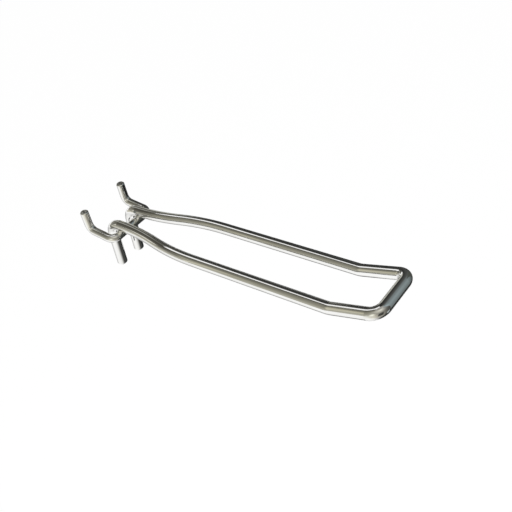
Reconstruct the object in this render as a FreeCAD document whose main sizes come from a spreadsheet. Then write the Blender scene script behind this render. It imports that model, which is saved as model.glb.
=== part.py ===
"""Pegboard hook: two bent steel wires, welded where the thin one crosses under the thick one.

The frame: +X points out of the board, +Z is up, and the hook is alike on both sides of the XZ plane.
The origin lies on the board's front face, midway between the two holes that take the pegs.
All lengths are millimetres and all angles are degrees. A wire's path is its centre line.
"""
import FreeCAD, Part
import math
import os

import Sketcher

SIZES = {
    "loop_wire_diameter": (5.2, "thick wire of legs, arms and front bar"),
    "peg_wire_diameter": (4.1, "thin wire of pegs and crossbar"),
    "peg_pitch": (25.4, "between the centres of the two pegs, one inch"),
    "board_slot": (3.9, "room for the board between a leg's back and the foot of a peg"),
    "peg_height": (11.0, "from the holes' centre line up to a peg's cut end"),
    "peg_lean_angle": (4.0, "how far a peg tilts back from upright"),
    "peg_bend_inside": (1.5, "inside radius of the bend below a peg"),
    "crossbar_corner_inside": (1.5, "inside radius of the corner at each end of the crossbar"),
    "weld_set_down": (0.35, "depth to which the wires are pressed together at a weld"),
    "leg_spacing": (12.5, "between the centres of the two legs"),
    "leg_drop": (24.0, "from the holes' centre line down to a leg's end"),
    "leg_bend_inside": (5.35, "inside radius of the bend between a leg and its arm"),
    "arm_rise_angle": (8.0, "slope of the arms, upwards from the board"),
    "arm_sway": (5.75, "how far an arm spreads outwards past its leg"),
    "sway_radius": (124.0, "centre line of the two arcs that spread an arm"),
    "main_run": (71.0, "straight stretch of an arm between its sway and its kink"),
    "kink_inside": (5.35, "inside radius of the kink near the front"),
    "ramp_rise_angle": (14.0, "further slope of the ramp past the kink"),
    "ramp_run": (17.5, "straight stretch of the ramp between its kink and its corner"),
    "front_corner_inside": (2.25, "inside radius of the corners beside the front bar"),
    "leg_end_chamfer": (0.8, "chamfer round a leg's cut end"),
    "peg_end_chamfer": (0.35, "chamfer round a peg's cut end"),
}

# Centre-line radii of the bends, as expressions on the sheet.
PEG_BEND = "(sizes.peg_bend_inside + sizes.peg_wire_diameter / 2)"
CROSSBAR_CORNER = "(sizes.crossbar_corner_inside + sizes.peg_wire_diameter / 2)"
LEG_BEND = "(sizes.leg_bend_inside + sizes.loop_wire_diameter / 2)"
KINK = "(sizes.kink_inside + sizes.loop_wire_diameter / 2)"
FRONT_CORNER = "(sizes.front_corner_inside + sizes.loop_wire_diameter / 2)"

# Places along the thick wire. The crossbar touches it where the leg bend ends, so both wires use them.
SEAT = "((sizes.loop_wire_diameter + sizes.peg_wire_diameter) / 2 - sizes.weld_set_down)"
LEG_X = "(sizes.loop_wire_diameter / 2)"
LEG_Y = "(sizes.leg_spacing / 2)"
ARM_Y = f"({LEG_Y} + sizes.arm_sway)"
BEND_CENTRE_X = f"({LEG_X} + {LEG_BEND})"
BEND_CENTRE_Z = f"(({SEAT} - {LEG_BEND}) * cos(sizes.arm_rise_angle))"
CROSSBAR_X = f"({BEND_CENTRE_X} + ({SEAT} - {LEG_BEND}) * sin(sizes.arm_rise_angle))"
BEND_END_X = f"({BEND_CENTRE_X} - {LEG_BEND} * sin(sizes.arm_rise_angle))"
BEND_END_Z = f"({SEAT} * cos(sizes.arm_rise_angle))"
SWAY_ANGLE = "acos(1 - sizes.arm_sway / (2 * sizes.sway_radius))"
SWAY_LENGTH = f"(2 * sizes.sway_radius * sin({SWAY_ANGLE}))"
ARM_END_X = f"({BEND_END_X} + ({SWAY_LENGTH} + sizes.main_run) * cos(sizes.arm_rise_angle))"
ARM_END_Z = f"({BEND_END_Z} + ({SWAY_LENGTH} + sizes.main_run) * sin(sizes.arm_rise_angle))"
RAMP_SLOPE = "(sizes.arm_rise_angle + sizes.ramp_rise_angle)"
RAMP_END_X = (
    f"({ARM_END_X} + {KINK} * (sin({RAMP_SLOPE}) - sin(sizes.arm_rise_angle))"
    f" + sizes.ramp_run * cos({RAMP_SLOPE}))"
)
RAMP_END_Z = (
    f"({ARM_END_Z} + {KINK} * (cos(sizes.arm_rise_angle) - cos({RAMP_SLOPE}))"
    f" + sizes.ramp_run * sin({RAMP_SLOPE}))"
)

# Points of a sketch's geometry, and its own axis and origin.
START = 1
END = 2
CENTRE = 3
X_AXIS = -1
ORIGIN = (X_AXIS, START)

# Directions from the centre of an arc, anticlockwise from the sketch's first axis.
RIGHT_ANGLE = 90
TOP = RIGHT_ANGLE
LEFT = 2 * RIGHT_ANGLE
BOTTOM = 3 * RIGHT_ANGLE
FULL_TURN = 4 * RIGHT_ANGLE

NORMAL = FreeCAD.Vector(0, 0, 1)
ACROSS = FreeCAD.Vector(0, 1, 0)


def size(name):
    """The value of one driving dimension."""
    return SIZES[name][0]


def add_sheet(doc):
    """Writes the driving dimensions to the document's sheet, one row each."""
    sheet = doc.addObject("Spreadsheet::Sheet", "sizes")
    for row, (name, (value, meaning)) in enumerate(SIZES.items(), start=1):
        sheet.set(f"A{row}", name)
        sheet.set(f"B{row}", str(value))
        sheet.set(f"C{row}", meaning)
        sheet.setAlias(f"B{row}", name)
    doc.recompute()


def origin_plane(body, role):
    """One of the three planes of a body's own origin."""
    return next(plane for plane in body.Origin.OriginFeatures if plane.Role == role)


def add_sketch(body, name, plane, offsets, turn=None, axis=NORMAL):
    """A sketch on an origin plane, moved by offsets and turned about an axis, all as expressions."""
    sketch = body.newObject("Sketcher::SketchObject", name)
    sketch.AttachmentSupport = [(origin_plane(body, plane), "")]
    sketch.MapMode = "FlatFace"
    if turn:
        sketch.AttachmentOffset = FreeCAD.Placement(FreeCAD.Vector(), FreeCAD.Rotation(axis, RIGHT_ANGLE))
        sketch.setExpression("AttachmentOffset.Rotation.Angle", turn)
    for coordinate, expression in offsets.items():
        sketch.setExpression(f"AttachmentOffset.Base.{coordinate}", expression)
    return sketch


def now(sketch, expression):
    """What an expression on the sheet comes to, for the first guess at a sketch's geometry."""
    return float(sketch.evalExpression(expression))


def add_line(sketch, start, length, direction):
    """A straight stretch of a path, from a point and in a direction in the sketch's plane."""
    begin = FreeCAD.Vector(start[0], start[1], 0)
    angle = math.radians(direction)
    stretch = FreeCAD.Vector(length * math.cos(angle), length * math.sin(angle), 0)
    return sketch.addGeometry(Part.LineSegment(begin, begin + stretch))


def add_arc(sketch, centre, radius, first, last):
    """A bend of a path, anticlockwise from the first to the last angle."""
    circle = Part.Circle(FreeCAD.Vector(*centre, 0), NORMAL, radius)
    return sketch.addGeometry(Part.ArcOfCircle(circle, math.radians(first), math.radians(last)))


def hold(sketch, kind, *where):
    """A constraint without a size."""
    sketch.addConstraint(Sketcher.Constraint(kind, *where))


def drive(sketch, name, expression, kind, *where):
    """A named constraint whose size follows the sheet."""
    value = now(sketch, expression)
    if kind == "Angle":
        value = math.radians(value)
        expression = f"({expression}) * 1 deg"
    index = sketch.addConstraint(Sketcher.Constraint(kind, *where, value))
    sketch.renameConstraint(index, name)
    sketch.setExpression(f"Constraints.{name}", expression)


def place(sketch, name, x, y, where):
    """Holds a point at a place in the sketch that follows the sheet."""
    drive(sketch, f"{name}_x", x, "DistanceX", *ORIGIN, *where)
    drive(sketch, f"{name}_y", y, "DistanceY", *ORIGIN, *where)


def wire_section(body, name, plane, diameter, place_x, place_y, offset):
    """The round section of a wire, on a plane square to the start of its path."""
    sketch = add_sketch(body, name, plane, {"z": offset})
    centre = FreeCAD.Vector(now(sketch, place_x), now(sketch, place_y), 0)
    ring = sketch.addGeometry(Part.Circle(centre, NORMAL, size(diameter) / 2))
    place(sketch, "centre", place_x, place_y, (ring, CENTRE))
    drive(sketch, "wire", f"sizes.{diameter}", "Diameter", ring)
    return sketch


def pipe(body, kind, name, section, paths):
    """Runs a round section along one or more joined path sketches."""
    route = body.newObject("PartDesign::SubShapeBinder", f"{name}_route")
    route.Support = [(path, "") for path in paths]
    feature = body.newObject(f"PartDesign::{kind}", name)
    feature.Profile = section
    feature.Spine = route
    return feature


def mirror(body, name, originals):
    """Repeats features on the other side of the XZ plane."""
    feature = body.newObject("PartDesign::Mirrored", name)
    feature.Originals = originals
    feature.MirrorPlane = (origin_plane(body, "XZ_Plane"), [""])
    body.Tip = feature
    return feature


def dress_ends(body, name, base, chamfer):
    """Chamfers the rims of a wire's cut ends, which are its only flat faces."""
    cut_ends = [face for face in base.Shape.Faces if isinstance(face.Surface, Part.Plane)]
    rims = [edge for face in cut_ends for edge in face.Edges]
    numbered = enumerate(base.Shape.Edges, start=1)
    names = [f"Edge{number}" for number, edge in numbered if any(edge.isSame(rim) for rim in rims)]
    feature = body.newObject("PartDesign::Chamfer", name)
    feature.Base = (base, names)
    feature.setExpression("Size", chamfer)
    body.Tip = feature


def leg_path(body):
    """A leg from its foot upwards and its bend into the arm, in the leg's upright plane."""
    sketch = add_sketch(body, "leg_path", "XZ_Plane", {"z": LEG_Y})
    radius = now(sketch, LEG_BEND)
    centre = (now(sketch, BEND_CENTRE_X), now(sketch, BEND_CENTRE_Z))
    leg_x = centre[0] - radius
    leg = add_line(sketch, (leg_x, -size("leg_drop")), centre[1] + size("leg_drop"), TOP)
    bend = add_arc(sketch, centre, radius, TOP + size("arm_rise_angle"), LEFT)
    drive(sketch, "bend_radius", LEG_BEND, "Radius", bend)
    place(sketch, "bend_centre", BEND_CENTRE_X, BEND_CENTRE_Z, (bend, CENTRE))
    hold(sketch, "Horizontal", bend, CENTRE, bend, END)
    hold(sketch, "Tangent", leg, END, bend, END)
    drive(sketch, "drop", "sizes.leg_drop", "DistanceY", leg, START, *ORIGIN)
    drive(sketch, "bend_end", BEND_END_X, "DistanceX", *ORIGIN, bend, START)
    return sketch


def sway_path(body):
    """Two equal arcs that spread an arm outwards and its straight main run, in the arms' plane."""
    offsets = {"x": BEND_END_X, "z": BEND_END_Z}
    sketch = add_sketch(body, "sway_path", "XY_Plane", offsets, turn="-sizes.arm_rise_angle", axis=ACROSS)
    radius = size("sway_radius")
    leg_y = -now(sketch, LEG_Y)
    arm_y = -now(sketch, ARM_Y)
    angle = now(sketch, SWAY_ANGLE)
    length = now(sketch, SWAY_LENGTH)
    spread = add_arc(sketch, (0, leg_y - radius), radius, TOP - angle, TOP)
    settle = add_arc(sketch, (length, arm_y + radius), radius, BOTTOM - angle, BOTTOM)
    run = add_line(sketch, (length, arm_y), size("main_run"), 0)
    drive(sketch, "spread_radius", "sizes.sway_radius", "Radius", spread)
    hold(sketch, "Equal", spread, settle)
    place(sketch, "spread_start", "0", f"-{LEG_Y}", (spread, END))
    hold(sketch, "Vertical", spread, CENTRE, spread, END)
    hold(sketch, "Tangent", spread, START, settle, START)
    hold(sketch, "Tangent", settle, END, run, START)
    hold(sketch, "Horizontal", run)
    drive(sketch, "arm_side", ARM_Y, "DistanceY", run, START, *ORIGIN)
    drive(sketch, "run", "sizes.main_run", "Distance", run)
    return sketch


def kink_path(body):
    """The kink of an arm and the straight ramp past it, in the arm's upright plane."""
    offsets = {"x": ARM_END_X, "y": ARM_END_Z, "z": ARM_Y}
    sketch = add_sketch(body, "kink_path", "XZ_Plane", offsets, turn="sizes.arm_rise_angle")
    rise = size("ramp_rise_angle")
    radius = now(sketch, KINK)
    kink = add_arc(sketch, (0, radius), radius, BOTTOM, BOTTOM + rise)
    ramp = add_line(sketch, sketch.getPoint(kink, END), size("ramp_run"), rise)
    drive(sketch, "kink_radius", KINK, "Radius", kink)
    hold(sketch, "Coincident", kink, START, *ORIGIN)
    hold(sketch, "Vertical", kink, CENTRE, *ORIGIN)
    hold(sketch, "Tangent", kink, END, ramp, START)
    drive(sketch, "rise", "sizes.ramp_rise_angle", "Angle", X_AXIS, START, ramp, START)
    drive(sketch, "ramp", "sizes.ramp_run", "Distance", ramp)
    return sketch


def corner_and_bar(sketch, radius, start_x, half_width):
    """A quarter bend from an arm towards the XZ plane, and the straight bar up to that plane."""
    radius_now = now(sketch, radius)
    start_now = now(sketch, start_x)
    half_width_now = now(sketch, half_width)
    centre = (start_now, radius_now - half_width_now)
    corner = add_arc(sketch, centre, radius_now, BOTTOM, FULL_TURN)
    bar = add_line(sketch, (start_now + radius_now, centre[1]), -centre[1], TOP)
    drive(sketch, "corner_radius", radius, "Radius", corner)
    place(sketch, "corner_start", start_x, f"-{half_width}", (corner, START))
    hold(sketch, "Vertical", corner, CENTRE, corner, START)
    hold(sketch, "Tangent", corner, END, bar, START)
    hold(sketch, "Vertical", bar)
    hold(sketch, "PointOnObject", bar, END, X_AXIS)
    return sketch


def front_bar_path(body):
    """A front corner and half of the front bar, in the ramp's plane."""
    offsets = {"x": RAMP_END_X, "z": RAMP_END_Z}
    sketch = add_sketch(body, "front_bar_path", "XY_Plane", offsets, turn=f"-{RAMP_SLOPE}", axis=ACROSS)
    return corner_and_bar(sketch, FRONT_CORNER, "0", ARM_Y)


def peg_path(body):
    """A peg from its cut end down through its bend, and the level run through the board's hole."""
    sketch = add_sketch(body, "peg_path", "XZ_Plane", {"z": "sizes.peg_pitch / 2"})
    bend_x = (
        f"({PEG_BEND} * tan(({RIGHT_ANGLE} - sizes.peg_lean_angle) / 2)"
        " - sizes.board_slot - sizes.peg_wire_diameter / 2)"
    )
    run_end = f"({CROSSBAR_X} - {CROSSBAR_CORNER})"
    lean = size("peg_lean_angle")
    radius = now(sketch, PEG_BEND)
    centre = (now(sketch, bend_x), radius)
    bend = add_arc(sketch, centre, radius, LEFT + lean, BOTTOM)
    heel = sketch.getPoint(bend, START)
    straight = (size("peg_height") - heel.y) / math.cos(math.radians(lean))
    peg = add_line(sketch, heel, straight, TOP + lean)
    run = add_line(sketch, (centre[0], 0), now(sketch, run_end) - centre[0], 0)
    drive(sketch, "bend_radius", PEG_BEND, "Radius", bend)
    drive(sketch, "bend_place", bend_x, "DistanceX", *ORIGIN, bend, CENTRE)
    hold(sketch, "PointOnObject", bend, END, X_AXIS)
    hold(sketch, "Tangent", bend, END, run, START)
    hold(sketch, "Horizontal", run)
    hold(sketch, "Tangent", peg, START, bend, START)
    drive(sketch, "lean", f"{RIGHT_ANGLE} + sizes.peg_lean_angle", "Angle", X_AXIS, START, peg, START)
    drive(sketch, "height", "sizes.peg_height", "DistanceY", *ORIGIN, peg, END)
    drive(sketch, "run_end", run_end, "DistanceX", *ORIGIN, run, END)
    return sketch


def crossbar_path(body):
    """A corner of the thin wire and half of its crossbar, in the plane of the holes."""
    sketch = add_sketch(body, "crossbar_path", "XY_Plane", {})
    return corner_and_bar(
        sketch, CROSSBAR_CORNER, f"({CROSSBAR_X} - {CROSSBAR_CORNER})", "(sizes.peg_pitch / 2)",
    )


def build_loop_wire(doc):
    """The thick wire: two legs, two arms and the front bar, bent from one length."""
    body = doc.addObject("PartDesign::Body", "loop_wire")
    paths = [leg_path(body), sway_path(body), kink_path(body), front_bar_path(body)]
    section = wire_section(
        body, "loop_section", "XY_Plane", "loop_wire_diameter", LEG_X, f"-{LEG_Y}", "-sizes.leg_drop",
    )
    half = pipe(body, "AdditivePipe", "half_loop", section, paths)
    whole = mirror(body, "whole_loop", [half])
    doc.recompute()
    dress_ends(body, "leg_ends", whole, "sizes.leg_end_chamfer")
    doc.recompute()
    return body


def build_peg_wire(doc):
    """The thin wire: two pegs and the crossbar, with the seats that the thick wire presses into it."""
    body = doc.addObject("PartDesign::Body", "peg_wire")
    paths = [peg_path(body), crossbar_path(body)]
    section = wire_section(body, "peg_section", "XZ_Plane", "peg_wire_diameter", CROSSBAR_X, "0", "0")
    half = pipe(body, "AdditivePipe", "half_peg_wire", section, paths)
    seat_paths = [leg_path(body), sway_path(body)]
    seat_section = wire_section(
        body, "seat_section", "XY_Plane", "loop_wire_diameter", LEG_X, f"-{LEG_Y}", "-sizes.leg_drop",
    )
    seat = pipe(body, "SubtractivePipe", "weld_seat", seat_section, seat_paths)
    whole = mirror(body, "whole_peg_wire", [half, seat])
    doc.recompute()
    if seat.Shape.Volume >= half.Shape.Volume:
        raise RuntimeError("the weld seat cuts nothing from the crossbar")
    dress_ends(body, "peg_ends", whole, "sizes.peg_end_chamfer")
    doc.recompute()
    return body


def check(doc, bodies):
    """Stops the build where an object failed or a wire isn't one valid solid."""
    for item in doc.Objects:
        if "Invalid" in item.State or "Error" in item.State:
            raise RuntimeError(f"{item.Name}: {item.State}")
    for body in bodies:
        if body.Shape.isNull() or not body.Shape.isValid() or len(body.Shape.Solids) != 1:
            raise RuntimeError(f"{body.Label} isn't one valid solid")


def main():
    """Builds both wires, checks them and writes one file for each."""
    doc = FreeCAD.newDocument("pegboard_hook")
    add_sheet(doc)
    bodies = [build_loop_wire(doc), build_peg_wire(doc)]
    check(doc, bodies)
    os.makedirs("parts", exist_ok=True)
    for body in bodies:
        body.Shape.exportStep(f"parts/{body.Label}.step")


main()
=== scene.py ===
"""Looks of a pegboard hook: two bright plated wires, their welds and the studio around them.

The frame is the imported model's own: metres, +X out of the board, +Z up, and the origin on the
board's front face.
"""

import logging
import math
from dataclasses import dataclass
from enum import Enum
from typing import Any

import bpy
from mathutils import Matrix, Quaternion, Vector


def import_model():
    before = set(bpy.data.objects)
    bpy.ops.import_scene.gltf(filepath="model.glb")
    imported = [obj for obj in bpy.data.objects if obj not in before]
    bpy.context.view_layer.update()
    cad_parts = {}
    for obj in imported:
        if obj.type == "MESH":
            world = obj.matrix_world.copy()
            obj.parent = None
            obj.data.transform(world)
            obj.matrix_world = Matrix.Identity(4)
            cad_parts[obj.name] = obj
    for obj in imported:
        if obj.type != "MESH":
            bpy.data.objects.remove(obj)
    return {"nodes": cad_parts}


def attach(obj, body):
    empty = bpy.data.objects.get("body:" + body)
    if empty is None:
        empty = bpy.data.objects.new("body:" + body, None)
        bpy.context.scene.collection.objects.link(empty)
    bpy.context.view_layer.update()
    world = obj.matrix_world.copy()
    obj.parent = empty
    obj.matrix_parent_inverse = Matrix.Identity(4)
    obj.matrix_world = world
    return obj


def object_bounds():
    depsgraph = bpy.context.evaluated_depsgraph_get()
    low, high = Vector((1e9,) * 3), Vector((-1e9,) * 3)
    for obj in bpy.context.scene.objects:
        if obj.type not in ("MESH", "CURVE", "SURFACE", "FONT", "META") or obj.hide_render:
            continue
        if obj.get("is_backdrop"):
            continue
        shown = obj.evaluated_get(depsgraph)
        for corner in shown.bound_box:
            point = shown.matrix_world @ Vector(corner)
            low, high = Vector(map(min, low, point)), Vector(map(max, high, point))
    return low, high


LOG = logging.getLogger("pegboard_hook")
MM = 0.001
Triple = tuple[float, float, float]
Colour = Triple
Span = tuple[float, float]
Socket = bpy.types.NodeSocket
WHITE: Colour = (1.0, 1.0, 1.0)


class Grain(Enum):
    """The way that the drawing die's fine lines run on a stretch of wire."""

    OUT_OF_BOARD = 0
    ACROSS = 1
    UPRIGHT = 2


class Mixed(Enum):
    """What a mix node mixes."""

    NUMBERS = "FLOAT"
    COLOURS = "RGBA"


@dataclass
class NodeSheet:
    """A node tree with short calls to add and join its nodes."""

    tree: bpy.types.NodeTree

    def add(
        self, kind: str, values: dict[str, Any] | None = None, **settings: Any,
    ) -> bpy.types.Node:
        """Adds one node.

        Args:
            kind: The node's type without its ShaderNode prefix.
            values: Numbers, colours or sockets for its inputs, by input name.
            settings: Properties of the node itself.

        Returns:
            The new node.
        """
        node = self.tree.nodes.new(f"ShaderNode{kind}")
        for name, value in settings.items():
            setattr(node, name, value)
        for name, value in (values or {}).items():
            self.feed(node.inputs[name], value)
        return node

    def feed(self, target: Socket, value: Any) -> None:
        """Joins a socket to an input, or sets the input's own value.

        Args:
            target: The input.
            value: A socket to join to it, or a number or colour for it.
        """
        if isinstance(value, Socket):
            self.tree.links.new(value, target)
        else:
            target.default_value = value

    def math(self, operation: str, *terms: Any) -> Socket:
        """Works out one sum.

        Args:
            operation: The sum's name in Blender.
            terms: Its numbers or sockets, in order.

        Returns:
            The result.
        """
        node = self.add("Math", operation=operation)
        for target, term in zip(node.inputs, terms):
            self.feed(target, term)
        return node.outputs[0]

    def ramp(self, value: Socket, low: float, high: float) -> Socket:
        """Rises smoothly from 0 to 1 while a value goes from low to high.

        Args:
            value: The value.
            low: Where the rise starts.
            high: Where it is complete, which may be below its start.

        Returns:
            The share, from 0 to 1.
        """
        node = self.add(
            "MapRange",
            {"Value": value, "From Min": low, "From Max": high},
            interpolation_type="SMOOTHSTEP",
        )
        return node.outputs["Result"]

    def along(self, place: Socket, direction: Triple) -> Socket:
        """How far a point lies along a direction.

        Args:
            place: The point.
            direction: A unit vector.

        Returns:
            The distance, in metres.
        """
        node = self.add("VectorMath", operation="DOT_PRODUCT")
        self.feed(node.inputs[0], place)
        self.feed(node.inputs[1], direction)
        return node.outputs["Value"]

    def mix(self, what: Mixed, share: Any, first: Any, second: Any) -> Socket:
        """Mixes two numbers or two colours.

        Args:
            what: Which of the two it mixes.
            share: The share of the second, from 0 to 1.
            first: The first number, colour or socket.
            second: The second one.

        Returns:
            The mix.
        """
        node = self.add("Mix", data_type=what.value)
        for name, value in (("Factor", share), ("A", first), ("B", second)):
            self.feed(node.inputs[name], value)
        return node.outputs["Result"]

    def glow(self, colour: Any) -> Socket:
        """An even glow that shows a colour as it is written."""
        return self.add("Emission", {"Color": colour, "Strength": 1.0}).outputs["Emission"]

    def show(self, surface: Socket, output: str = "OutputMaterial") -> None:
        """Joins the finished surface to the sheet's output."""
        self.add(output, {"Surface": surface})


def rgba(colour: Colour) -> tuple[float, float, float, float]:
    """A colour with full alpha."""
    return (*colour, 1.0)


def new_sheet(name: str) -> tuple[bpy.types.Material, NodeSheet]:
    """Makes an empty node material.

    Args:
        name: The material's name.

    Returns:
        The material and its node sheet.
    """
    material = bpy.data.materials.new(name)
    material.use_nodes = True
    material.node_tree.nodes.clear()
    return material, NodeSheet(material.node_tree)


@dataclass(frozen=True)
class Stretch:
    """A part of a wire whose grain runs its own way, bounded by one coordinate in millimetres.

    The slope is the angle, in degrees, at which a grain that runs out of the board also climbs.
    """

    grain: Grain
    axis: int
    starts: float
    full: float
    slope: float = 0.0


@dataclass(frozen=True)
class CutEnd:
    """A flat cut end: its normal, and how far along it the bare steel starts, in millimetres."""

    normal: Triple
    starts: float
    soft: float = 0.06


@dataclass(frozen=True)
class PlatedFinish:
    """Bright plating over drawn steel wire, with bare cut ends. Sizes are millimetres."""

    slot: str
    bright: Colour
    tarnished: Colour
    roughness: float
    roughness_spread: float
    grain_depth: float
    slope: float
    stretches: tuple[Stretch, ...]
    cut_end: CutEnd
    bare: Colour = (0.75, 0.75, 0.73)
    bare_dark: Colour = (0.30, 0.30, 0.29)
    bare_roughness: float = 0.42
    line_pitch: float = 0.9
    line_length: float = 26.0
    line_detail: float = 3.0
    line_roughness: float = 0.6
    cloud_size: float = 9.0
    cloud_detail: float = 4.0
    streak_share: float = 0.6
    wear_span: Span = (0.38, 0.68)
    speck_size: float = 1.1
    speck_detail: float = 2.0
    speck_span: Span = (0.35, 0.65)
    pit_depth: float = 0.12

    def lines(self, sheet: NodeSheet, place: Socket, grain: Grain, slope: float) -> Socket:
        """Fine lines that the drawing die left along the wire.

        Args:
            sheet: The material's nodes.
            place: The point in the hook's own frame.
            grain: The way that the lines run.
            slope: How far the lines climb as they run out of the board, in degrees.

        Returns:
            Their height, from 0 to 1.
        """
        line = [self.line_pitch * MM] * 3
        line[grain.value] = self.line_length * MM
        turn = (0.0, -math.radians(slope), 0.0)
        mapped = sheet.add(
            "Mapping", {"Vector": place, "Rotation": turn, "Scale": line}, vector_type="TEXTURE",
        )
        noise = sheet.add(
            "TexNoise",
            {
                "Vector": mapped.outputs["Vector"],
                "Scale": 1.0,
                "Detail": self.line_detail,
                "Roughness": self.line_roughness,
            },
        )
        return noise.outputs["Fac"]

    def grain(self, sheet: NodeSheet, place: Socket) -> Socket:
        """The lines of all stretches, each running along its own stretch of wire.

        Args:
            sheet: The material's nodes.
            place: The point in the hook's own frame.

        Returns:
            Their height, from 0 to 1.
        """
        axes = sheet.add("SeparateXYZ", {"Vector": place}).outputs
        height = self.lines(sheet, place, Grain.OUT_OF_BOARD, self.slope)
        for stretch in self.stretches:
            share = sheet.ramp(axes[stretch.axis], stretch.starts * MM, stretch.full * MM)
            lines = self.lines(sheet, place, stretch.grain, stretch.slope)
            height = sheet.mix(Mixed.NUMBERS, share, height, lines)
        return height

    def spots(self, sheet: NodeSheet, place: Socket, size: float, detail: float) -> Socket:
        """Soft random spots.

        Args:
            sheet: The material's nodes.
            place: The point in the hook's own frame.
            size: The size of a spot, in millimetres.
            detail: How many finer layers of spots lie over the first.

        Returns:
            Their strength, from 0 to 1.
        """
        noise = sheet.add(
            "TexNoise", {"Vector": place, "Scale": 1 / (size * MM), "Detail": detail},
        )
        return noise.outputs["Fac"]

    def bareness(self, sheet: NodeSheet, place: Socket) -> Socket:
        """How bare the steel is, which it is only on the cut ends.

        Args:
            sheet: The material's nodes.
            place: The point in the hook's own frame.

        Returns:
            The share of bare steel, from 0 to 1.
        """
        starts = self.cut_end.starts
        reach = sheet.along(place, self.cut_end.normal)
        return sheet.ramp(reach, (starts - self.cut_end.soft) * MM, starts * MM)

    def plating(self, sheet: NodeSheet, place: Socket, grain: Socket) -> Socket:
        """The plating's colour, dulled in clouds and along the grain.

        Args:
            sheet: The material's nodes.
            place: The point in the hook's own frame.
            grain: The height of the grain's lines.

        Returns:
            The colour.
        """
        cloud = self.spots(sheet, place, self.cloud_size, self.cloud_detail)
        wear = sheet.mix(Mixed.NUMBERS, self.streak_share, cloud, grain)
        dulling = sheet.ramp(wear, *self.wear_span)
        return sheet.mix(Mixed.COLOURS, dulling, rgba(self.bright), rgba(self.tarnished))

    def relief(self, sheet: NodeSheet, grain: Socket, speck: Socket, bare: Socket) -> Socket:
        """The surface's fine relief: drawn lines all over, and pits where the steel is bare.

        Args:
            sheet: The material's nodes.
            grain: The height of the grain's lines.
            speck: The height of the specks.
            bare: The share of bare steel.

        Returns:
            The surface's normal.
        """
        lines = sheet.add(
            "Bump", {"Height": grain, "Strength": 1.0, "Distance": self.grain_depth * MM},
        )
        pits = sheet.add(
            "Bump",
            {
                "Height": speck,
                "Strength": bare,
                "Distance": self.pit_depth * MM,
                "Normal": lines.outputs["Normal"],
            },
        )
        return pits.outputs["Normal"]

    def material(self) -> bpy.types.Material:
        """Lays the plating over the steel.

        Returns:
            The finish as a node material.
        """
        material, sheet = new_sheet(self.slot)
        place = sheet.add("TexCoord").outputs["Object"]
        grain = self.grain(sheet, place)
        bare = self.bareness(sheet, place)
        speck = self.spots(sheet, place, self.speck_size, self.speck_detail)
        light_specks = sheet.ramp(speck, *self.speck_span)
        steel = sheet.mix(Mixed.COLOURS, light_specks, rgba(self.bare_dark), rgba(self.bare))
        plating = self.plating(sheet, place, grain)
        gloss = sheet.math("MULTIPLY_ADD", grain, self.roughness_spread, self.roughness)
        shader = sheet.add(
            "BsdfPrincipled",
            {
                "Base Color": sheet.mix(Mixed.COLOURS, bare, plating, steel),
                "Metallic": 1.0,
                "Roughness": sheet.mix(Mixed.NUMBERS, bare, gloss, self.bare_roughness),
                "Normal": self.relief(sheet, grain, speck, bare),
            },
        )
        sheet.show(shader.outputs["BSDF"])
        return material


@dataclass
class Wire:
    """One bent wire of the hook, which keeps its solid and takes a finish."""

    node: str
    finish: PlatedFinish

    def dress(self, nodes: dict[str, bpy.types.Object]) -> bpy.types.Object:
        """Gives the wire its finish.

        Args:
            nodes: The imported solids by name.

        Returns:
            The wire's object.
        """
        wire = nodes[self.node]
        wire.data.materials.clear()
        wire.data.materials.append(self.finish.material())
        return wire


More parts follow.
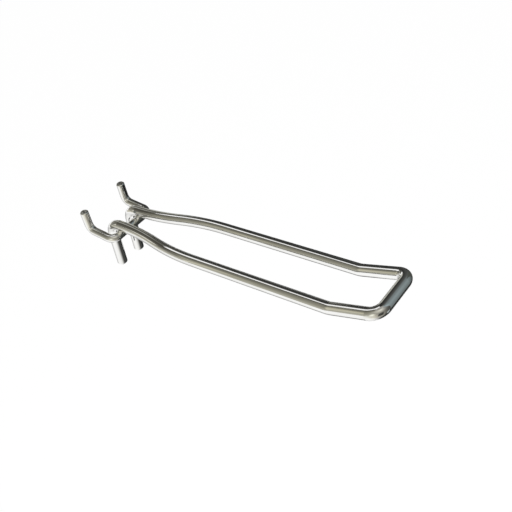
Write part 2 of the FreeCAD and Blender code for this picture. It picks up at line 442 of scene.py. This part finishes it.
@dataclass(frozen=True)
class WeldBeads:
    """The collars of metal squeezed out where the two arms are welded to the crossbar.

    Sizes are millimetres. The place is the right bead's, and the left bead stands opposite it. The
    bead's reach along the arm and along the crossbar is from its middle.
    """

    place: Triple = (9.78, 6.25, 1.88)
    along_arm: float = 1.9
    along_bar: float = 2.3
    thickness: float = 1.6
    rim: float = 0.72
    rim_segments: int = 4
    slope: float = 8.0
    sides: int = 24

    def select_rims(self, bead: bpy.types.Object) -> None:
        """Selects the edges of the bead's two flat sides, whose ends lie at one height.

        Args:
            bead: The bead as a disc, in edit mode.
        """
        bpy.ops.mesh.select_mode(type="EDGE")
        bpy.ops.mesh.select_all(action="DESELECT")
        bpy.ops.object.mode_set(mode="OBJECT")
        points = bead.data.vertices
        for edge in bead.data.edges:
            first, second = (points[index].co.z for index in edge.vertices)
            edge.select = first * second > 0.0
        bpy.ops.object.mode_set(mode="EDIT")

    def shape(self) -> bpy.types.Object:
        """Shapes the right bead from a disc with rounded rims, between the two wires.

        Returns:
            The right bead.
        """
        bpy.ops.object.select_all(action="DESELECT")
        bpy.ops.mesh.primitive_cylinder_add(
            vertices=self.sides, radius=self.along_arm * MM, depth=self.thickness * MM,
            location=[value * MM for value in self.place],
            rotation=(0.0, -math.radians(self.slope), 0.0),
        )
        bead = bpy.context.object
        bead.name = "right_weld_bead"
        bpy.ops.object.mode_set(mode="EDIT")
        self.select_rims(bead)
        bpy.ops.mesh.bevel(offset=self.rim * MM, segments=self.rim_segments, affect="EDGES")
        bpy.ops.mesh.select_all(action="SELECT")
        bpy.ops.transform.resize(value=(1.0, self.along_bar / self.along_arm, 1.0))
        bpy.ops.object.mode_set(mode="OBJECT")
        smoother = bead.modifiers.new("smoother", "SUBSURF")
        smoother.levels = 1
        smoother.render_levels = 1
        bpy.ops.object.modifier_apply(modifier=smoother.name)
        bpy.ops.object.transform_apply(location=True, rotation=True, scale=True)
        bpy.ops.object.shade_smooth()
        return bead

    def build(self, plating: bpy.types.Material, slot: str) -> list[bpy.types.Object]:
        """Sets a bead at each weld and plates both with the wires.

        Args:
            plating: The crossbar's finish.
            slot: Not used.

        Returns:
            The two beads.
        """
        right = self.shape()
        right.data.materials.append(plating)
        bpy.ops.object.duplicate(linked=False)
        left = bpy.context.object
        left.name = "left_weld_bead"
        left.location.y = -2.0 * self.place[1] * MM
        bpy.ops.object.transform_apply(location=True)
        beads = [left, right]
        for bead in beads:
            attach(bead, "root")
        return beads


def set_card(card: bpy.types.Object, middle: Vector, finish: bpy.types.Material) -> None:
    """Sets a finished card around the hook, where only mirror-like surfaces show it.

    Args:
        card: The card, made around the origin.
        middle: The point that it goes around.
        finish: Its finish.
    """
    card.location = middle
    card.data.materials.append(finish)
    card.visible_camera = False
    card.visible_diffuse = False
    card.visible_shadow = False
    card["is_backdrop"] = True


@dataclass(frozen=True)
class Card:
    """A curved card that stands around the hook and is mirrored in its wires.

    Azimuths are degrees from +Y towards +X, elevations are degrees above the hook's middle, and the
    distance is metres. The colours are those of the card's four corners: foot and top where it
    starts, then foot and top where it ends.
    """

    name: str
    azimuths: Span
    elevations: Span
    distance: float
    start_foot: Colour
    start_top: Colour
    end_foot: Colour
    end_top: Colour
    sides: int = 180

    def finish(self) -> bpy.types.Material:
        """Fades a colour between the card's four corners.

        Returns:
            The card's material.
        """
        material, sheet = new_sheet(self.name)
        place = sheet.add("TexCoord").outputs["Object"]
        height = sheet.add("SeparateXYZ", {"Vector": place}).outputs["Z"]
        climb = sheet.math("ARCTAN2", height, self.distance)
        rise = sheet.ramp(climb, *map(math.radians, self.elevations))
        half_span = math.radians(self.azimuths[1] - self.azimuths[0]) / 2
        facing = math.radians(sum(self.azimuths) / 2)
        ahead = (math.sin(facing), math.cos(facing), 0.0)
        aside = (math.cos(facing), -math.sin(facing), 0.0)
        turn = sheet.math("ARCTAN2", sheet.along(place, aside), sheet.along(place, ahead))
        share = sheet.ramp(turn, -half_span, half_span)
        foot = sheet.mix(Mixed.COLOURS, share, rgba(self.start_foot), rgba(self.end_foot))
        top = sheet.mix(Mixed.COLOURS, share, rgba(self.start_top), rgba(self.end_top))
        sheet.show(sheet.glow(sheet.mix(Mixed.COLOURS, rise, foot, top)))
        return material

    def build(self, middle: Vector) -> bpy.types.Object:
        """Cuts the card from an open drum around the hook.

        Args:
            middle: The point that the card stands around.

        Returns:
            The card.
        """
        foot, top = (self.distance * math.tan(math.radians(angle)) for angle in self.elevations)
        bpy.ops.object.select_all(action="DESELECT")
        bpy.ops.mesh.primitive_cylinder_add(
            vertices=self.sides, radius=self.distance, depth=top - foot, end_fill_type="NOTHING",
            location=(0.0, 0.0, (foot + top) / 2),
        )
        card = bpy.context.object
        card.name = self.name
        bpy.ops.object.transform_apply(location=True)
        bpy.ops.object.mode_set(mode="EDIT")
        for angle, side in zip(self.azimuths, (-1.0, 1.0)):
            turn = math.radians(angle)
            edge = Vector((math.cos(turn), -math.sin(turn), 0.0)) * side
            bpy.ops.mesh.select_all(action="SELECT")
            bpy.ops.mesh.bisect(plane_co=(0, 0, 0), plane_no=edge, clear_outer=True)
        bpy.ops.object.mode_set(mode="OBJECT")
        set_card(card, middle, self.finish())
        return card


def two_tone_card(
    name: str, azimuths: Span, elevations: Span, distance: float, start: Colour, end: Colour,
) -> Card:
    """Plans a card whose colour is the same from foot to top.

    Args:
        name: The card's name.
        azimuths: Where it starts and ends, in degrees.
        elevations: Its foot and top, in degrees.
        distance: How far from the hook's middle it stands, in metres.
        start: Its colour where it starts.
        end: Its colour where it ends.

    Returns:
        The card.
    """
    return Card(
        name, azimuths, elevations, distance,
        start_foot=start, start_top=start, end_foot=end, end_top=end,
    )


@dataclass(frozen=True)
class Ceiling:
    """A round card over the hook, which is mirrored in its wires. Sizes are metres."""

    height: float
    radius: float
    colour: Colour
    sides: int = 64

    def build(self, middle: Vector) -> bpy.types.Object:
        """Lays the card over the hook.

        Args:
            middle: The point that it lies over.

        Returns:
            The card.
        """
        bpy.ops.object.select_all(action="DESELECT")
        bpy.ops.mesh.primitive_circle_add(
            vertices=self.sides, radius=self.radius, fill_type="NGON",
            location=(0.0, 0.0, self.height),
        )
        card = bpy.context.object
        card.name = "ceiling"
        bpy.ops.object.transform_apply(location=True)
        material, sheet = new_sheet(card.name)
        sheet.show(sheet.glow(rgba(self.colour)))
        set_card(card, middle, material)
        return card


@dataclass(frozen=True)
class PhotoCamera:
    """The viewpoint from which the hook is shown, found from the edges of its wires.

    Angles are degrees, lens and sensor are millimetres, and the rest is metres.
    """

    place: Triple = (0.237981, -0.166469, 0.230512)
    azimuth: float = 41.78
    elevation: float = 43.62
    roll: float = -7.82
    lens: float = 50.933
    sensor: float = 36.0
    clip: Span = (0.01, 50.0)

    def build(self) -> bpy.types.Object:
        """Makes the camera and looks through it.

        Returns:
            The camera.
        """
        data = bpy.data.cameras.new("camera")
        data.lens = self.lens
        data.sensor_width = self.sensor
        data.clip_start, data.clip_end = self.clip
        camera = bpy.data.objects.new("camera", data)
        bpy.context.scene.collection.objects.link(camera)
        turn, tilt = math.radians(self.azimuth), math.radians(self.elevation)
        level_reach = math.cos(tilt)
        forward = Vector(
            (-math.sin(turn) * level_reach, math.cos(turn) * level_reach, -math.sin(tilt))
        )
        level = forward.to_track_quat("-Z", "Y")
        camera.rotation_mode = "QUATERNION"
        camera.rotation_quaternion = level @ Quaternion((0.0, 0.0, 1.0), math.radians(self.roll))
        camera.location = self.place
        bpy.context.scene.camera = camera
        return camera


@dataclass
class Studio:
    """A pale floor under a white sweep, one soft lamp, and the cards that the plating mirrors.

    Sizes and places are metres, around the hook's middle.
    """

    middle: Vector
    cards: tuple[Card | Ceiling, ...]
    floor_drop: float = 3.2
    floor_size: float = 60.0
    floor_colour: Colour = (0.95, 0.95, 0.95)
    shadow_share: float = 0.15
    sweep_light: float = 1.0
    lamp_power: float = 30.0
    lamp_size: float = 0.9
    lamp_place: Triple = (-0.5, -0.7, 1.3)

    def seen(self, sheet: NodeSheet) -> Socket:
        """Tells a straight look at the surface from other light.

        Args:
            sheet: The surface's nodes.

        Returns:
            1 where the camera, a mirror or glass looks at the surface, and 0 elsewhere.
        """
        path = sheet.add("LightPath").outputs
        looked = sheet.math("MAXIMUM", path["Is Camera Ray"], path["Is Glossy Ray"])
        return sheet.math("MAXIMUM", looked, path["Is Transmission Ray"])

    def floor_finish(self) -> bpy.types.Material:
        """Makes pale matt paper that shows white and still takes a soft shadow.

        Returns:
            The floor's material.
        """
        material, sheet = new_sheet("floor_paper")
        paper = sheet.add("BsdfDiffuse", {"Color": rgba(self.floor_colour)})
        share = sheet.math("MULTIPLY", self.seen(sheet), 1.0 - self.shadow_share)
        mix = sheet.add("MixShader", {"Fac": share})
        sheet.feed(mix.inputs[1], paper.outputs["BSDF"])
        sheet.feed(mix.inputs[2], sheet.glow(rgba(WHITE)))
        sheet.show(mix.outputs["Shader"])
        return material

    def build_floor(self) -> bpy.types.Object:
        """Lays the floor well below the hanging hook.

        Returns:
            The floor.
        """
        bpy.ops.object.select_all(action="DESELECT")
        bpy.ops.mesh.primitive_plane_add(
            size=self.floor_size, location=self.middle - Vector((0.0, 0.0, self.floor_drop)),
        )
        floor = bpy.context.object
        floor.name = "floor"
        floor.data.materials.append(self.floor_finish())
        floor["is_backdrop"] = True
        return floor

    def build_sweep(self) -> bpy.types.World:
        """Hangs the white sweep all round, which lights the hook softly.

        Returns:
            The world that holds it.
        """
        world = bpy.data.worlds.new("white_sweep")
        bpy.context.scene.world = world
        world.use_nodes = True
        world.node_tree.nodes.clear()
        sheet = NodeSheet(world.node_tree)
        sweep = sheet.add("Background", {"Color": rgba(WHITE), "Strength": self.sweep_light})
        sheet.show(sweep.outputs["Background"], "OutputWorld")
        return world

    def build_lamp(self) -> bpy.types.Object:
        """Hangs one soft lamp above the hook, turned towards it and kept out of its mirrors.

        Returns:
            The lamp.
        """
        data = bpy.data.lights.new("soft_lamp", "AREA")
        data.energy = self.lamp_power
        data.size = self.lamp_size
        lamp = bpy.data.objects.new("soft_lamp", data)
        bpy.context.scene.collection.objects.link(lamp)
        lamp.location = self.middle + Vector(self.lamp_place)
        lamp.rotation_mode = "QUATERNION"
        lamp.rotation_quaternion = (self.middle - lamp.location).to_track_quat("-Z", "Y")
        lamp.visible_glossy = False
        return lamp

    def build(self) -> None:
        """Sets up floor, sweep, lamp and cards."""
        self.build_floor()
        self.build_sweep()
        self.build_lamp()
        for card in self.cards:
            card.build(self.middle)


LOOP_FINISH = PlatedFinish(
    slot="plated_loop_wire",
    bright=(0.95, 0.95, 0.94),
    tarnished=(0.86, 0.855, 0.835),
    roughness=0.03,
    roughness_spread=0.06,
    grain_depth=0.0018,
    slope=8.0,
    stretches=(
        Stretch(Grain.UPRIGHT, axis=2, starts=1.5, full=-2.0),
        Stretch(Grain.OUT_OF_BOARD, axis=0, starts=132.0, full=134.0, slope=22.0),
        Stretch(Grain.ACROSS, axis=0, starts=150.5, full=153.0),
    ),
    cut_end=CutEnd(normal=(0.0, 0.0, -1.0), starts=23.98),
)

PEG_FINISH = PlatedFinish(
    slot="plated_peg_wire",
    bright=(0.94, 0.94, 0.93),
    tarnished=(0.85, 0.845, 0.82),
    roughness=0.04,
    roughness_spread=0.07,
    grain_depth=0.0015,
    slope=0.0,
    stretches=(
        Stretch(Grain.ACROSS, axis=0, starts=6.5, full=9.0),
        Stretch(Grain.UPRIGHT, axis=2, starts=2.0, full=4.5),
    ),
    cut_end=CutEnd(normal=(-0.0697565, 0.0, 0.9975641), starts=11.40),
)

CARDS: tuple[Card | Ceiling, ...] = (
    Ceiling(height=1.42, radius=0.45, colour=(0.34, 0.335, 0.31)),
    # Beyond the hook: dark flags, for the black line along the arms and the slate front bar.
    Card(
        "black_flag", (-52.0, -20.0), (-74.0, 73.0), 0.90,
        start_foot=(0.05, 0.05, 0.048), start_top=(0.022, 0.022, 0.021),
        end_foot=(0.03, 0.03, 0.028), end_top=(0.075, 0.077, 0.073),
    ),
    Card(
        "shade_flag", (-20.0, 24.0), (-74.0, 73.0), 0.90,
        start_foot=(0.03, 0.03, 0.028), start_top=(0.075, 0.077, 0.073),
        end_foot=(0.03, 0.03, 0.028), end_top=(0.19, 0.22, 0.225),
    ),
    Card(
        "slate_flag", (24.0, 62.0), (-74.0, 73.0), 0.90,
        start_foot=(0.03, 0.03, 0.028), start_top=(0.19, 0.22, 0.225),
        end_foot=(0.06, 0.06, 0.055), end_top=(0.32, 0.39, 0.405),
    ),
    # In front of the hook: walls and ground that grow lighter towards the viewer.
    Card(
        "dusk_wall", (62.0, 126.0), (-37.0, 18.0), 0.95,
        start_foot=(0.06, 0.06, 0.055), start_top=(0.075, 0.075, 0.07),
        end_foot=(0.40, 0.385, 0.33), end_top=(0.27, 0.26, 0.225),
    ),
    Card(
        "dusk_wall_top", (62.0, 126.0), (18.0, 73.0), 0.95,
        start_foot=(0.09, 0.09, 0.084), start_top=(0.27, 0.27, 0.25),
        end_foot=(0.27, 0.26, 0.225), end_top=(0.80, 0.79, 0.70),
    ),
    Card(
        "corner_shade", (100.0, 113.0), (4.0, 20.0), 0.13,
        start_foot=(0.035, 0.035, 0.032), start_top=(0.07, 0.07, 0.063),
        end_foot=(0.045, 0.045, 0.041), end_top=(0.09, 0.087, 0.08),
    ),
    two_tone_card(
        "slate_ground", (62.0, 80.0), (-74.0, -37.0), 0.90,
        start=(0.055, 0.055, 0.05), end=(0.05, 0.05, 0.046),
    ),
    two_tone_card(
        "dusk_ground", (80.0, 162.0), (-74.0, -37.0), 0.90,
        start=(0.05, 0.05, 0.046), end=(0.98, 0.98, 0.96),
    ),
    Card(
        "dawn_wall", (126.0, 150.0), (-37.0, 20.0), 0.95,
        start_foot=(0.40, 0.385, 0.33), start_top=(0.28, 0.27, 0.235),
        end_foot=(0.75, 0.72, 0.62), end_top=(0.45, 0.43, 0.36),
    ),
    Card(
        "light_wall", (150.0, 200.0), (-37.0, 20.0), 0.95,
        start_foot=(0.78, 0.76, 0.67), start_top=(0.45, 0.43, 0.36),
        end_foot=(1.0, 1.0, 0.96), end_top=(0.38, 0.37, 0.31),
    ),
    Card(
        "light_wall_top", (126.0, 200.0), (20.0, 73.0), 0.95,
        start_foot=(0.30, 0.29, 0.25), start_top=(0.74, 0.72, 0.63),
        end_foot=(0.34, 0.33, 0.28), end_top=(0.40, 0.39, 0.335),
    ),
    Card(
        "lamp_halo", (150.0, 185.0), (-2.0, 27.0), 0.90,
        start_foot=(0.72, 0.70, 0.60), start_top=(0.60, 0.58, 0.49),
        end_foot=(0.76, 0.75, 0.65), end_top=(0.60, 0.58, 0.49),
    ),
    Card(
        "lamp_spot", (159.0, 177.0), (2.0, 30.0), 0.88,
        start_foot=(1.0, 1.0, 0.90), start_top=(0.85, 0.84, 0.72),
        end_foot=(1.0, 1.0, 0.90), end_top=(0.85, 0.84, 0.72),
    ),
    two_tone_card(
        "pale_spot", (72.0, 84.0), (-25.0, -8.0), 0.30,
        start=(0.50, 0.55, 0.56), end=(0.50, 0.55, 0.56),
    ),
    # Behind the board: khaki walls and a window, for the arms' middle and their bright line.
    Card(
        "khaki_wall", (-160.0, -91.0), (-16.0, 33.0), 1.00,
        start_foot=(0.45, 0.44, 0.37), start_top=(0.28, 0.27, 0.218),
        end_foot=(0.55, 0.53, 0.44), end_top=(0.17, 0.165, 0.134),
    ),
    Card(
        "khaki_wall_top", (-160.0, -91.0), (33.0, 73.0), 1.00,
        start_foot=(0.28, 0.27, 0.218), start_top=(0.29, 0.28, 0.23),
        end_foot=(0.10, 0.097, 0.08), end_top=(0.07, 0.068, 0.057),
    ),
    Card(
        "cream_patch", (-140.0, -104.0), (-10.0, 24.0), 0.92,
        start_foot=(0.74, 0.72, 0.60), start_top=(0.45, 0.43, 0.325),
        end_foot=(0.76, 0.72, 0.59), end_top=(0.53, 0.495, 0.38),
    ),
    two_tone_card(
        "cream_spot", (-114.0, -108.5), (7.0, 16.0), 0.204,
        start=(0.72, 0.70, 0.62), end=(0.72, 0.70, 0.62),
    ),
    Card(
        "root_shade", (-137.0, -125.0), (-8.0, 20.0), 0.225,
        start_foot=(0.45, 0.44, 0.37), start_top=(0.32, 0.31, 0.25),
        end_foot=(0.50, 0.49, 0.42), end_top=(0.16, 0.155, 0.13),
    ),
    Card(
        "sway_shade", (-125.0, -112.0), (-6.0, 24.0), 0.225,
        start_foot=(0.50, 0.49, 0.42), start_top=(0.16, 0.155, 0.13),
        end_foot=(0.38, 0.37, 0.31), end_top=(0.10, 0.097, 0.08),
    ),
    Card(
        "window_wall", (-112.0, -56.0), (-4.0, 33.3), 0.23,
        start_foot=(0.34, 0.33, 0.28), start_top=(0.065, 0.06, 0.048),
        end_foot=(0.16, 0.155, 0.135), end_top=(0.055, 0.055, 0.047),
    ),
    Card(
        "window_bar", (-79.0, -69.0), (8.0, 33.3), 0.22,
        start_foot=(0.36, 0.36, 0.33), start_top=(0.34, 0.34, 0.31),
        end_foot=(0.36, 0.36, 0.33), end_top=(0.36, 0.36, 0.33),
    ),
    two_tone_card(
        "window_blind", (-92.0, -72.0), (26.5, 32.0), 0.15,
        start=(0.06, 0.058, 0.048), end=(0.16, 0.158, 0.14),
    ),
    # Close shades beyond the hook, for the front bar and the far arm, and one for the pegs.
    Card(
        "bar_shade", (38.0, 62.0), (-27.0, 35.0), 0.11,
        start_foot=(0.05, 0.052, 0.044), start_top=(0.08, 0.085, 0.075),
        end_foot=(0.05, 0.052, 0.044), end_top=(0.08, 0.085, 0.075),
    ),
    two_tone_card(
        "far_shade", (-20.0, 40.0), (-52.0, -16.0), 0.11,
        start=(0.012, 0.012, 0.012), end=(0.012, 0.012, 0.012),
    ),
    two_tone_card(
        "peg_shade", (8.0, 90.0), (-37.0, -22.0), 0.885,
        start=(0.014, 0.014, 0.013), end=(0.022, 0.022, 0.02),
    ),
    # The window's post and sill, and the ground below them.
    Card(
        "window_post", (-70.0, -52.0), (14.0, 55.0), 0.98,
        start_foot=(0.09, 0.09, 0.08), start_top=(0.12, 0.12, 0.11),
        end_foot=(0.04, 0.04, 0.038), end_top=(0.05, 0.05, 0.047),
    ),
    Card(
        "window_sill", (-56.0, -45.5), (-12.0, 14.0), 0.88,
        start_foot=(0.60, 0.60, 0.55), start_top=(0.34, 0.34, 0.30),
        end_foot=(0.60, 0.60, 0.55), end_top=(0.34, 0.34, 0.30),
    ),
    Card(
        "grey_ground", (-142.0, -52.0), (-78.0, -24.0), 0.70,
        start_foot=(0.80, 0.80, 0.79), start_top=(0.98, 0.98, 0.97),
        end_foot=(0.10, 0.10, 0.10), end_top=(0.14, 0.14, 0.14),
    ),
)


def main() -> None:
    """Dresses the hook and sets up the studio around it."""
    logging.basicConfig(level=logging.INFO, format="%(name)s: %(message)s")
    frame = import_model()
    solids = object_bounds()
    bpy.context.scene.view_settings.view_transform = "Standard"
    loop = Wire("loop_wire", LOOP_FINISH).dress(frame["nodes"])
    crossbar = Wire("peg_wire", PEG_FINISH).dress(frame["nodes"])
    beads = WeldBeads().build(crossbar.data.materials[0], PEG_FINISH.slot)
    for piece in (loop, crossbar, *beads):
        LOG.info("%s is dressed in %s", piece.name, piece.data.materials[0].name)
    middle = (solids[0] + solids[1]) / 2
    Studio(middle=middle, cards=CARDS).build()
    PhotoCamera().build()


if __name__ == "__main__":
    main()
